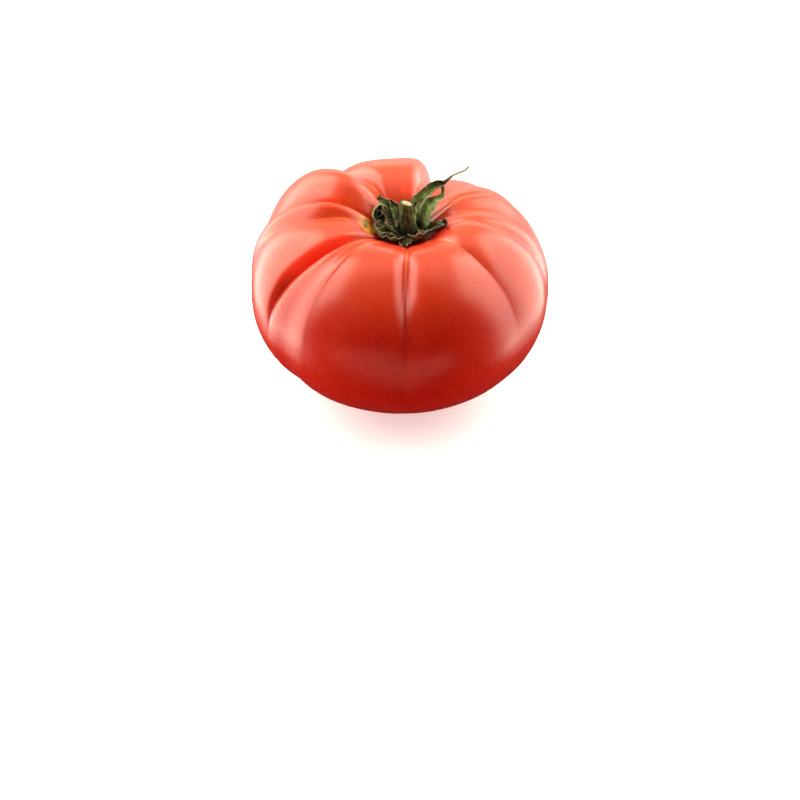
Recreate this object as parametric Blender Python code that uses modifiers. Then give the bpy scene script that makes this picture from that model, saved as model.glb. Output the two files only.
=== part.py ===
"""A pink heirloom tomato with its dried calyx and the stub of its stalk. Metres, +Z up.

The driving dimensions are in millimetres, and MM turns them to metres where a mesh is made.
Heights of the fruit's profile are counted from its widest plane, and the finished pieces are
raised so that the flat resting spot lies at Z = 0 with the stalk's axis over the origin.
Azimuths are in degrees from the front, -Y, towards the right, +X. Polar angles are in
degrees from the stalk end.
"""

import math
from dataclasses import dataclass

import bmesh
import bpy
from mathutils import Quaternion, Vector
from mathutils.bvhtree import BVHTree

MM = 0.001

# The turned body that the lobes are raised on
HALF_WIDTH = 50.0
TOP_HEIGHT = 36.0
BOTTOM_HEIGHT = 34.8
TOP_SQUARENESS = 2.35
BOTTOM_SQUARENESS = 2.05
CAVITY_DEPTH = 15.0
CAVITY_RADIUS = 15.5
STALK_OFFSET = 2.2
FLAT_POLAR = 168.0

# Creases that part the lobes: azimuth, depth, sharpness before and after, polar reach, and the
# swing, which is how many degrees further round it starts at the stalk than it is at the side
CREASES = [
    (2, 3.4, 4.5, 4.5, 110, 0),
    (51, 1.6, 2.8, 3.4, 92, -3),
    (85, 2.0, 2.2, 2.2, 110, 0),
    (118, 1.8, 2.0, 2.0, 120, 0),
    (164, 10.0, 1.5, 8.0, 150, 0),
    (210, 5.0, 4.5, 2.6, 82, 0),
    (252, 4.0, 9.0, 3.2, 64, 4),
    (269, 1.0, 4.5, 3.0, 68, 8),
    (299, 5.4, 9.0, 3.0, 98, 8),
    (321, 0.9, 2.6, 3.4, 76, 0),
]
# The lobe after each crease: how far it bulges outwards and how far its shoulder is raised
LOBES = [
    (0.5, 0.0),
    (0.5, 0.0),
    (0.0, -2.8),
    (-2.2, -4.8),
    (-0.8, -0.3),
    (2.0, 4.0),
    (0.6, 2.0),
    (0.0, 0.5),
    (-1.0, -2.0),
    (-0.3, 0.0),
]
CREASE_ROUNDING = 0.03
SWING_POLAR = 62.0
CREASE_START_POLAR = 30.0
CREASE_START_SHARE = 0.05
CREASE_FULL_REACH = 0.35
SHOULDER_POLAR = 30.0

# The skin's mesh: columns crowd towards the creases, and rings towards the stalk
COLUMNS_PER_LOBE = 10
COLUMN_EVENNESS = 0.35
RINGS = 40
RING_CROWDING = 1.3

# The calyx: a small hub on the floor of the cavity, with the sepals growing out of it
CLEARANCE = 0.35
HUB_RADIUS = 4.8
HUB_HALF_HEIGHT = 1.6
HUB_SEGMENTS = 24
HUB_RINGS = 10
SEPAL_THICKNESS = 0.7
SEPAL_ROWS = 22
SEPAL_COLUMNS = 4
NARROWEST_WIDTH = 0.8
RIPPLES = 4.5
RIPPLE_SKEW = 1.5
LIFT_PASSES = 3
ROOT_RADIUS = 1.6
ROOT_HEIGHT = 0.3
ROOT_WIDTH = 3.4
NECK_RADIUS = 3.9
NECK_HEIGHT = 1.2
NECK_WIDTH = 4.2

# The stalk's stub: its foot stands on the hub and its cut end leans backwards
STALK_LENGTH = 9.0
STALK_LEAN = 2.7
STALK_BEND = 1.6
STALK_RADIUS = 2.1
STALK_FLARE = 0.35
STALK_KNUCKLE = 0.06
KNUCKLE_PLACE = 0.7
KNUCKLE_LENGTH = 0.1
STALK_POINTS = 14


@dataclass
class Sepal:
    """One dried sepal.

    azimuth is where it leaves the hub. Each station is (x, y, z, width) in millimetres from
    the hub's centre. gutter lifts both margins by that share of the width, wave is the height
    of the margins' ripple, and roll is how far the blade has turned about its spine by its tip.
    """

    azimuth: float
    stations: list
    gutter: float = 0.18
    wave: float = 0.35
    roll: float = 0.0


SEPALS = [
    Sepal(
        2,
        [
            (-0.1, -5.2, 2.3, 7.6),
            (-0.5, -8.6, 2.6, 5.0),
            (-1.0, -12.4, 3.6, 1.4),
        ],
        gutter=-0.05,
        wave=0.15,
    ),
    Sepal(
        48,
        [
            (5.4, -3.2, 2.2, 4.0),
            (7.1, -3.5, 3.8, 2.6),
            (7.6, -3.2, 5.2, 1.2),
        ],
    ),
    Sepal(
        97,
        [
            (7.1, -1.0, 2.6, 4.4),
            (10.4, -1.0, 4.3, 3.4),
            (12.4, -1.3, 6.0, 2.2),
            (12.0, -1.0, 7.6, 1.5),
        ],
    ),
    Sepal(
        128,
        [
            (4.8, 4.4, 4.4, 9.0),
            (8.3, 6.0, 7.5, 5.0),
            (10.8, 6.5, 9.5, 1.5),
            (11.9, 7.5, 11.3, 1.1),
            (11.4, 9.3, 12.4, 1.0),
        ],
        gutter=0.08,
    ),
    Sepal(
        158,
        [
            (2.9, 5.4, 4.0, 4.8),
            (5.0, 9.0, 7.3, 4.2),
            (7.9, 11.2, 9.3, 3.4),
            (11.3, 11.8, 10.7, 2.4),
            (14.4, 12.6, 13.7, 0.9),
            (17.0, 13.2, 15.0, 0.8),
        ],
        gutter=0.25,
    ),
    Sepal(
        188,
        [
            (-0.6, 6.0, 2.6, 3.4),
            (-0.9, 8.6, 4.4, 1.2),
        ],
    ),
    Sepal(
        218,
        [
            (-3.4, 5.4, 3.4, 4.2),
            (-5.1, 8.0, 5.3, 3.2),
            (-7.1, 8.6, 6.4, 2.2),
            (-9.0, 8.2, 7.0, 1.6),
            (-9.8, 7.6, 8.6, 1.6),
        ],
    ),
    Sepal(
        262,
        [
            (-6.2, 1.8, 2.6, 4.6),
            (-9.6, 1.5, 4.0, 4.8),
            (-11.0, 3.0, 6.2, 4.0),
            (-9.9, 4.6, 8.2, 2.0),
            (-8.0, 4.8, 8.9, 1.4),
            (-6.6, 4.2, 7.6, 1.3),
            (-7.6, 3.5, 6.2, 1.3),
        ],
        gutter=0.12,
        roll=60,
    ),
    Sepal(
        292,
        [
            (-4.6, -1.4, 2.6, 3.2),
            (-6.4, -1.2, 4.6, 2.2),
            (-5.4, -0.4, 6.0, 1.3),
        ],
    ),
    Sepal(
        318,
        [
            (-6.4, -3.4, 2.4, 4.6),
            (-10.4, -3.5, 5.2, 3.4),
            (-11.1, -3.0, 7.0, 2.2),
            (-9.2, -1.6, 7.9, 1.3),
        ],
    ),
]


def smooth(value):
    """Ease a share from 0 to 1 with level ends."""
    value = min(max(value, 0.0), 1.0)
    return value * value * (3.0 - 2.0 * value)


def profile(polar):
    """Radius and height of the turned body at a polar angle in radians."""
    sine, cosine = math.sin(polar), math.cos(polar)
    top = cosine > 0.0
    power = 2.0 / (TOP_SQUARENESS if top else BOTTOM_SQUARENESS)
    radius = HALF_WIDTH * max(sine, 0.0) ** power
    height = (TOP_HEIGHT if top else BOTTOM_HEIGHT) * math.copysign(abs(cosine) ** power, cosine)
    if top:
        height -= CAVITY_DEPTH * math.exp(-((radius / CAVITY_RADIUS) ** 2))
    return radius, height


def profile_normal(polar):
    """Outward direction of the turned body at a polar angle, as radial and upward shares."""
    step = 0.001
    before, after = profile(polar - step), profile(polar + step)
    along, down = after[0] - before[0], after[1] - before[1]
    length = math.hypot(along, down) or 1.0
    return -down / length, along / length


def crease_fade(polar, reach):
    """How much of a crease's depth is left at a polar angle, both in degrees."""
    rise = smooth(polar / CREASE_START_POLAR)
    full = CREASE_FULL_REACH * reach
    fall = 1.0 - smooth((polar - full) / (reach - full))
    return rise * (CREASE_START_SHARE + (1.0 - CREASE_START_SHARE) * fall)


def crease_wall(share, sharpness):
    """Depth share of a crease at a share of the way to the middle of its lobe."""
    rounded = math.sqrt(share * share + CREASE_ROUNDING * CREASE_ROUNDING)
    return max(1.0 - rounded, 0.0) ** sharpness


def fruit_point(polar, lobe, share):
    """A point of the skin, on a lobe at a share of the way between its two creases."""
    start, end = CREASES[lobe], CREASES[(lobe + 1) % len(CREASES)]
    degrees = math.degrees(polar)
    swung = 1.0 - smooth(degrees / SWING_POLAR)
    width = (end[0] - start[0]) % 360 + (end[5] - start[5]) * swung
    azimuth = math.radians(start[0] + start[5] * swung + share * width)
    sunk = start[1] * crease_fade(degrees, start[4]) * crease_wall(2.0 * share, start[3])
    sunk += end[1] * crease_fade(degrees, end[4]) * crease_wall(2.0 - 2.0 * share, end[2])
    crown = math.sin(math.pi * share) ** 2
    bulge, lift = LOBES[lobe]
    radius, height = profile(polar)
    outward, upward = profile_normal(polar)
    height -= upward * sunk
    radius = max(radius - outward * sunk + bulge * crown * math.sin(polar) ** 2, 0.0)
    offset = 0.0
    if math.cos(polar) > 0.0:
        height += lift * crown * smooth(degrees / SHOULDER_POLAR) * math.sqrt(math.cos(polar))
        offset = STALK_OFFSET * (1.0 - smooth(profile(polar)[0] / HALF_WIDTH))
    return Vector((radius * math.sin(azimuth) + offset, -radius * math.cos(azimuth), height))


FLAT_HEIGHT = profile(math.radians(FLAT_POLAR))[1]
HUB_CENTRE = Vector((STALK_OFFSET, 0.0, TOP_HEIGHT - CAVITY_DEPTH + CLEARANCE + HUB_HALF_HEIGHT))


def placed(point):
    """A point in millimetres from the widest plane, as metres above the resting spot."""
    return (Vector(point) - Vector((0.0, 0.0, FLAT_HEIGHT))) * MM


def make_material(name, colour, roughness):
    """A plain principled material of one colour."""
    material = bpy.data.materials.new(name)
    material.use_nodes = True
    shader = material.node_tree.nodes["Principled BSDF"]
    shader.inputs["Base Color"].default_value = (*colour, 1.0)
    shader.inputs["Roughness"].default_value = roughness
    shader.inputs["Metallic"].default_value = 0.0
    return material


def make_object(name, mesh_data, collection, material):
    """An object for a bmesh, shaded smooth, in a collection."""
    mesh = bpy.data.meshes.new(name)
    mesh_data.to_mesh(mesh)
    mesh_data.free()
    mesh.shade_smooth()
    mesh.materials.append(material)
    made = bpy.data.objects.new(name, mesh)
    collection.objects.link(made)
    return made


def build_fruit(collection, material):
    """The whole fruit: a sphere whose columns follow the creases and whose last ring is the flat spot."""
    columns = COLUMNS_PER_LOBE * len(CREASES)
    shape = bmesh.new()
    bmesh.ops.create_uvsphere(shape, u_segments=columns, v_segments=RINGS, radius=1.0)
    flat_polar = math.radians(FLAT_POLAR)
    for vertex in shape.verts:
        ring = round(math.acos(max(-1.0, min(1.0, vertex.co.z))) / math.pi * RINGS)
        turn = math.atan2(vertex.co.x, -vertex.co.y) / (2.0 * math.pi)
        lobe, column = divmod(round(turn * columns) % columns, COLUMNS_PER_LOBE)
        straight = column / COLUMNS_PER_LOBE
        share = COLUMN_EVENNESS * straight + (1.0 - COLUMN_EVENNESS) * smooth(straight)
        if ring == RINGS:
            point = Vector((0.0, 0.0, FLAT_HEIGHT))
        else:
            polar = flat_polar * (ring / (RINGS - 1)) ** RING_CROWDING
            point = fruit_point(max(polar, 1e-4), lobe, share)
        if ring >= RINGS - 1:
            point.z = FLAT_HEIGHT
        vertex.co = placed(point)
    bmesh.ops.recalc_face_normals(shape, faces=shape.faces)
    return make_object("fruit", shape, collection, material)


def floor_height(surface, point):
    """Height of the skin straight below a point, in metres."""
    above = Vector((point.x, point.y, 1.0))
    hit = surface.ray_cast(above, Vector((0.0, 0.0, -1.0)))[0]
    return hit.z if hit else 0.0


def curve_through(stations, rows):
    """Evenly counted points of a smooth curve through all the stations."""
    points = [Vector(station) for station in stations]
    points = [2 * points[0] - points[1], *points, 2 * points[-1] - points[-2]]
    spans = len(stations) - 1
    curve = []
    for row in range(rows + 1):
        place = row / rows * spans
        span = min(int(place), spans - 1)
        t = place - span
        a, b, c, d = points[span : span + 4]
        curve.append(
            0.5 * (2 * b + (c - a) * t + (2 * a - 5 * b + 4 * c - d) * t**2 + (3 * b - a - 3 * c + d) * t**3)
        )
    return curve


def sepal_rows(sepal):
    """Spine point, side direction, face direction and width of each row of a sepal."""
    azimuth = math.radians(sepal.azimuth)
    out = Vector((math.sin(azimuth), -math.cos(azimuth), 0.0))
    root = (out.x * ROOT_RADIUS, out.y * ROOT_RADIUS, ROOT_HEIGHT, ROOT_WIDTH)
    neck = (out.x * NECK_RADIUS, out.y * NECK_RADIUS, NECK_HEIGHT, NECK_WIDTH)
    curve = curve_through([root, neck, *sepal.stations], SEPAL_ROWS)
    side = out.cross(Vector((0.0, 0.0, 1.0)))
    rows = []
    for row, here in enumerate(curve):
        before, after = curve[max(row - 1, 0)], curve[min(row + 1, SEPAL_ROWS)]
        along = (after - before).xyz.normalized()
        side = (side - along * side.dot(along)).normalized()
        turned = Quaternion(along, math.radians(sepal.roll) * row / SEPAL_ROWS) @ side
        rows.append((HUB_CENTRE + here.xyz, turned, turned.cross(along), max(here.w, NARROWEST_WIDTH)))
    return rows


def build_sepal(index, sepal, surface, collection, material):
    """One sepal: a grid laid along its curve, lifted clear of the skin, then thickened."""
    rows = sepal_rows(sepal)
    shape = bmesh.new()
    bmesh.ops.create_grid(shape, x_segments=SEPAL_COLUMNS, y_segments=SEPAL_ROWS, size=1.0)
    places = {}
    lifts = [0.0] * (SEPAL_ROWS + 1)
    for vertex in shape.verts:
        row = round((vertex.co.y + 1.0) / 2.0 * SEPAL_ROWS)
        across = vertex.co.x
        spine, side, face, width = rows[row]
        along = row / SEPAL_ROWS
        phase = 2.0 * math.pi * RIPPLES * along + 2.0 * index + RIPPLE_SKEW * across
        ripple = sepal.wave * math.sin(phase) * smooth(4.0 * along - 1.0)
        height = sepal.gutter * width * across**2 + ripple * abs(across)
        vertex.co = placed(spine + side * across * width / 2.0 + face * height)
        least = floor_height(surface, vertex.co) + (CLEARANCE + SEPAL_THICKNESS / 2.0) * MM
        lifts[row] = max(lifts[row], least - vertex.co.z)
        places[vertex] = row
    for _ in range(LIFT_PASSES):
        padded = [lifts[0], *lifts, lifts[-1]]
        lifts = [max(here, (padded[i] + padded[i + 2]) / 2.0) for i, here in enumerate(lifts)]
    for vertex, row in places.items():
        vertex.co.z += lifts[row]
    bmesh.ops.triangulate(shape, faces=shape.faces)
    blade = make_object(f"sepal_{index}", shape, collection, material)
    shell = blade.modifiers.new("thickness", "SOLIDIFY")
    shell.thickness = SEPAL_THICKNESS * MM
    shell.offset = 0.0
    return blade


def build_calyx(surface, collection, material):
    """The hub with every sepal joined to it as one body."""
    shape = bmesh.new()
    bmesh.ops.create_uvsphere(shape, u_segments=HUB_SEGMENTS, v_segments=HUB_RINGS, radius=1.0)
    for vertex in shape.verts:
        x, y, z = vertex.co
        vertex.co = placed(HUB_CENTRE + Vector((x * HUB_RADIUS, y * HUB_RADIUS, z * HUB_HALF_HEIGHT)))
        vertex.co.z = max(vertex.co.z, floor_height(surface, vertex.co) + CLEARANCE * MM)
    hub = make_object("calyx", shape, collection, material)
    blades = bpy.data.collections.new("sepals")
    bpy.context.scene.collection.children.link(blades)
    for index, sepal in enumerate(SEPALS):
        build_sepal(index, sepal, surface, blades, material)
    union = hub.modifiers.new("sepals", "BOOLEAN")
    union.operation = "UNION"
    union.operand_type = "COLLECTION"
    union.collection = blades
    union.solver = "MANIFOLD"
    bpy.context.view_layer.update()
    depsgraph = bpy.context.evaluated_depsgraph_get()
    joined = bpy.data.meshes.new_from_object(hub.evaluated_get(depsgraph))
    hub.modifiers.clear()
    hub.data = joined
    for blade in list(blades.objects):
        bpy.data.objects.remove(blade)
    bpy.data.collections.remove(blades)
    return hub


def build_stalk(collection, material):
    """The stub: a tube that starts upright, leans backwards and swells at its foot and its knuckle."""
    curve = bpy.data.curves.new("stem", "CURVE")
    curve.dimensions = "3D"
    curve.bevel_depth = STALK_RADIUS * MM
    curve.bevel_resolution = 4
    curve.use_fill_caps = True
    spline = curve.splines.new("POLY")
    spline.points.add(STALK_POINTS - 1)
    foot = HUB_CENTRE + Vector((0.0, 0.0, HUB_HALF_HEIGHT + CLEARANCE))
    for index, point in enumerate(spline.points):
        share = index / (STALK_POINTS - 1)
        lean = STALK_LEAN * share**STALK_BEND
        point.co = (*placed(foot + Vector((0.0, lean, STALK_LENGTH * share))), 1.0)
        flare = STALK_FLARE * (1.0 - share) ** 1.5
        knuckle = STALK_KNUCKLE * math.exp(-(((share - KNUCKLE_PLACE) / KNUCKLE_LENGTH) ** 2))
        point.radius = 1.0 + flare + knuckle
    made = bpy.data.objects.new("stem", curve)
    curve.materials.append(material)
    collection.objects.link(made)
    return made


def main():
    """Build the fruit, its calyx and its stalk."""
    for old in list(bpy.data.objects):
        bpy.data.objects.remove(old)
    tomato = bpy.data.collections.new("pink_tomato")
    bpy.context.scene.collection.children.link(tomato)
    fruit = build_fruit(tomato, make_material("tomato_skin", (0.62, 0.07, 0.04), 0.35))
    surface = BVHTree.FromPolygons(
        [vertex.co for vertex in fruit.data.vertices],
        [polygon.vertices for polygon in fruit.data.polygons],
    )
    build_calyx(surface, tomato, make_material("dried_sepal", (0.12, 0.15, 0.05), 0.7))
    build_stalk(tomato, make_material("dried_stalk", (0.10, 0.11, 0.05), 0.75))


main()
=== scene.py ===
"""The looks of a pink heirloom tomato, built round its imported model. Blender 4.5.

The fruit, its dried calyx and the stub of its stalk are modelled again in full detail where their
solids lie. Lengths are in millimetres and heights are counted from the fruit's widest plane, and
`placed` turns both to metres above the resting spot. Azimuths are in degrees from the front, -Y,
towards the right, +X. Polar angles are in degrees from the stalk end.
"""

import logging
import math
from dataclasses import astuple, dataclass
from enum import Enum

import bmesh
import bpy
import numpy as np
from mathutils import Matrix, Vector, noise
from mathutils.bvhtree import BVHTree


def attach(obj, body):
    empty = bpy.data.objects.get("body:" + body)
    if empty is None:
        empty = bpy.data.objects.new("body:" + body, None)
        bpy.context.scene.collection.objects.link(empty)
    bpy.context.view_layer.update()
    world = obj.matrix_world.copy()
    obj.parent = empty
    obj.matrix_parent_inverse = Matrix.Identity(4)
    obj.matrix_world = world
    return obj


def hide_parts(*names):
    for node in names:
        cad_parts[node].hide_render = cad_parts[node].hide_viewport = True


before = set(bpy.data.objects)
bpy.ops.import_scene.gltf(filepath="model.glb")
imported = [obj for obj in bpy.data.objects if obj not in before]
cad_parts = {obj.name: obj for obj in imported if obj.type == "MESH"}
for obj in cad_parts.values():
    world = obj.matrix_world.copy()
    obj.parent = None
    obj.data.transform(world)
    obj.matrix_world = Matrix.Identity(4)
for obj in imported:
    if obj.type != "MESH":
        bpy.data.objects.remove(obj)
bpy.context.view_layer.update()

LOG = logging.getLogger("pink_tomato")
MM = 0.001
BODY = "root"
TURN = 2.0 * math.pi
Mesh = bpy.types.Mesh
Piece = bpy.types.Object
Finish = bpy.types.Material
Tree = bpy.types.NodeTree
Node = bpy.types.Node
Socket = bpy.types.NodeSocket


class Part(Enum):
    """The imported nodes, which are also the record's material slots."""

    FRUIT = "fruit"
    CALYX = "calyx"
    STEM = "stem"


def ease(value: np.ndarray | float) -> np.ndarray | float:
    """Ease a share from 0 to 1 with level ends."""
    value = np.clip(value, 0.0, 1.0)
    return value * value * (3.0 - 2.0 * value)


def hill(distance: np.ndarray | float, reach: float) -> np.ndarray | float:
    """A smooth hill of height 1 that has mostly gone at its reach."""
    return np.exp(-((distance / reach) ** 2))


def outward(azimuth: float) -> np.ndarray:
    """The level direction of an azimuth in degrees."""
    angle = math.radians(azimuth)
    return np.array([math.sin(angle), -math.cos(angle), 0.0])


def rough(points: np.ndarray, size: float, seed: int) -> np.ndarray:
    """Smooth noise from about -1 to 1 at each point.

    Args:
        points: The points, in any unit.
        size: How wide one hump of the noise is, in the same unit.
        seed: Which patch of the noise is read.

    Returns:
        One value for each point.
    """
    shift = np.array([17.3, 5.1, 11.9]) * seed
    return np.array([noise.noise(Vector(point)) for point in points / size + shift])


def curve_through(stations: np.ndarray, rows: int) -> np.ndarray:
    """Evenly spaced points of a smooth curve through all the stations.

    Args:
        stations: One row for each station: a point and its width.
        rows: How many steps the curve is cut into.

    Returns:
        One row more than the steps, each a point and its width.
    """
    ends = 2 * stations[0] - stations[1], 2 * stations[-1] - stations[-2]
    padded = np.vstack([ends[0], stations, ends[1]])
    place = np.linspace(0.0, len(stations) - 1, 8 * rows + 1)
    span = np.minimum(place.astype(int), len(stations) - 2)
    t = (place - span)[:, None]
    a, b, c, d = (padded[span + offset] for offset in range(4))
    squared, cubed = 2 * a - 5 * b + 4 * c - d, 3 * b - a - 3 * c + d
    curve = 0.5 * (2 * b + (c - a) * t + squared * t**2 + cubed * t**3)
    steps = np.linalg.norm(np.diff(curve[:, :3], axis=0), axis=1)
    run = np.concatenate([[0.0], np.cumsum(steps)])
    even = np.linspace(0.0, run[-1], rows + 1)
    return np.column_stack([np.interp(even, run, column) for column in curve.T])


def linear(colour: str) -> tuple[float, float, float, float]:
    """The linear colour of an sRGB hex value."""
    channels = [int(colour[start : start + 2], 16) / 255.0 for start in (1, 3, 5)]
    return (*[c / 12.92 if c <= 0.04045 else ((c + 0.055) / 1.055) ** 2.4 for c in channels], 1.0)


def per_metre(size: float) -> float:
    """The scale of a texture whose pattern repeats each `size` millimetres."""
    return 1.0 / (size * MM)


def set_inputs(tree: Tree, node: Node, inputs: dict[int | str, object]) -> None:
    """Set a node's inputs, or link them.

    Args:
        tree: The node's tree.
        node: The node.
        inputs: Constants or output sockets, keyed by the name or number of the input.
    """
    for key, value in inputs.items():
        if isinstance(value, Socket):
            tree.links.new(value, node.inputs[key])
        else:
            node.inputs[key].default_value = value


def add_node(
    tree: Tree, kind: str, inputs: dict[int | str, object], output: int | str = 0, **settings: str
) -> Socket:
    """Add a node with its settings, its constant inputs and its links.

    Args:
        tree: The material's node tree.
        kind: The node's type.
        inputs: Constants or output sockets, keyed by the name or number of the input.
        output: The name or number of the output that is wanted.
        settings: The node's own properties.

    Returns:
        The output socket.
    """
    node = tree.nodes.new(kind)
    for name, value in settings.items():
        setattr(node, name, value)
    set_inputs(tree, node, inputs)
    return node.outputs[output]


def lay_over(tree: Tree, colour: Socket | tuple, layers: list[tuple]) -> Socket:
    """Lay tints over a colour, one after the other.

    Args:
        tree: The material's node tree.
        colour: The colour underneath.
        layers: For each tint its sRGB hex value, the mask that says where it goes, the values of
            the mask where it starts and where it is strongest, and how strong it is there.

    Returns:
        The colour with all the tints on it.
    """
    for tint, mask, low, high, most in layers:
        limits = {"Value": mask, "From Min": low, "From Max": high, "To Max": most}
        share = add_node(tree, "ShaderNodeMapRange", limits)
        colours = {0: share, 6: colour, 7: linear(tint)}
        colour = add_node(tree, "ShaderNodeMix", colours, 2, data_type="RGBA")
    return colour


def new_material(name: str) -> tuple[Finish, Tree, Node]:
    """A material with its node tree and its principled shader.

    Args:
        name: Its name.

    Returns:
        The material, the tree and the shader.
    """
    material = bpy.data.materials.new(name)
    material.use_nodes = True
    tree = material.node_tree
    return material, tree, tree.nodes["Principled BSDF"]


def read_points(mesh: Mesh) -> np.ndarray:
    """The places of a mesh's vertices."""
    flat = np.empty(len(mesh.vertices) * 3)
    mesh.vertices.foreach_get("co", flat)
    return flat.reshape(-1, 3)


def move_points(mesh: Mesh, points: np.ndarray) -> None:
    """Move a mesh's vertices to new places in metres."""
    mesh.vertices.foreach_set("co", points.ravel())
    mesh.update()


def write_mask(mesh: Mesh, name: str, values: np.ndarray) -> None:
    """Keep one number for each vertex, for the material to read."""
    layer = mesh.attributes.new(name, "FLOAT", "POINT")
    layer.data.foreach_set("value", np.asarray(values, dtype=np.float32))


def number_faces(sphere: Piece, rings: int) -> None:
    """Number a sphere's faces from its top down, because Blender's own order changes each run.

    Args:
        sphere: The sphere, of radius 1.
        rings: How many steps it has from pole to pole.
    """

    def order(face: bmesh.types.BMFace) -> float:
        """The number of the face's ring, then its place round the ring."""
        x, y, z = face.calc_center_median()
        return 10.0 * math.floor(math.atan2(math.hypot(x, y), z) / math.pi * rings) + math.atan2(x, -y)

    shape = bmesh.new()
    shape.from_mesh(sphere.data)
    shape.faces.sort(key=order)
    shape.to_mesh(sphere.data)
    shape.free()


def new_sphere(segments: int, rings: int) -> tuple[Piece, np.ndarray, np.ndarray]:
    """Add a sphere of radius 1, to be shaped.

    Args:
        segments: How many columns it has.
        rings: How many steps it has from pole to pole.

    Returns:
        The sphere, the places of its vertices, and the step each is on, counted from the top.
    """
    bpy.ops.object.select_all(action="DESELECT")
    bpy.ops.mesh.primitive_uv_sphere_add(segments=segments, ring_count=rings, radius=1.0)
    sphere = bpy.context.object
    number_faces(sphere, rings)
    ball = read_points(sphere.data)
    return sphere, ball, np.rint(np.arccos(np.clip(ball[:, 2], -1.0, 1.0)) / np.pi * rings)


def hand_over(piece: Piece, name: str, material: Finish, part: Part) -> None:
    """Name a finished piece, dress it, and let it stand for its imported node.

    Args:
        piece: The finished object.
        name: Its name.
        material: Its finish.
        part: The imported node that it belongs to.
    """
    piece.name = name
    piece.data.name = name
    piece.data.materials.clear()
    piece.data.materials.append(material)
    piece.data.shade_smooth()
    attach(piece, BODY)
    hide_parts(part.value)
    LOG.info("%s: %d faces", name, len(piece.data.polygons))


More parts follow.
